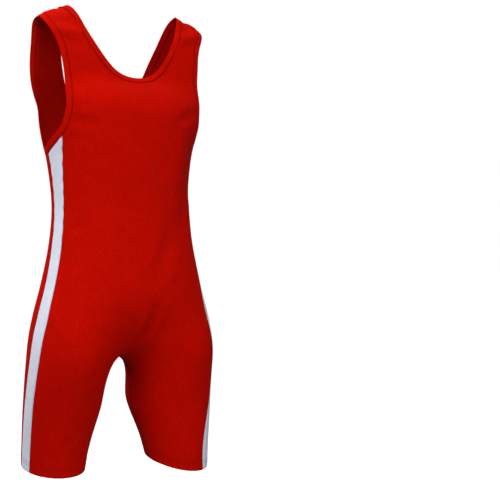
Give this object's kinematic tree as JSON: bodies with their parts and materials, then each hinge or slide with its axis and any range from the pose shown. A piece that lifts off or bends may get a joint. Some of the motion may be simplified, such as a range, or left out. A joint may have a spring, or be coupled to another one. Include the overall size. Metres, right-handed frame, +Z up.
{
  "type": "wrestling singlet",
  "caption": "Sleeveless one-piece stretch-knit singlet with low scooped neck and armholes, narrow folded bindings, short legs and a contrast panel down each side.",
  "frame": {"origin": "between the wearer's shoulders, 4 mm above the strap tops, on the fore-and-aft line of the armpits", "axes": "+Z up, -Y towards the wearer's front, +X towards the wearer's left"},
  "size_m": [0.3773, 0.2296, 0.8844],
  "materials": {
    "red_knit": "smooth matte-satin stretch knit",
    "white_knit": "smooth matte-satin stretch knit"
  },
  "bodies": {
    "root": {"front": "red_knit", "back": "red_knit", "side_panel_right": "white_knit", "side_panel_left": "white_knit", "neck_binding": "red_knit", "armhole_binding_right": "red_knit", "armhole_binding_left": "red_knit"}
  },
  "joints": []
}
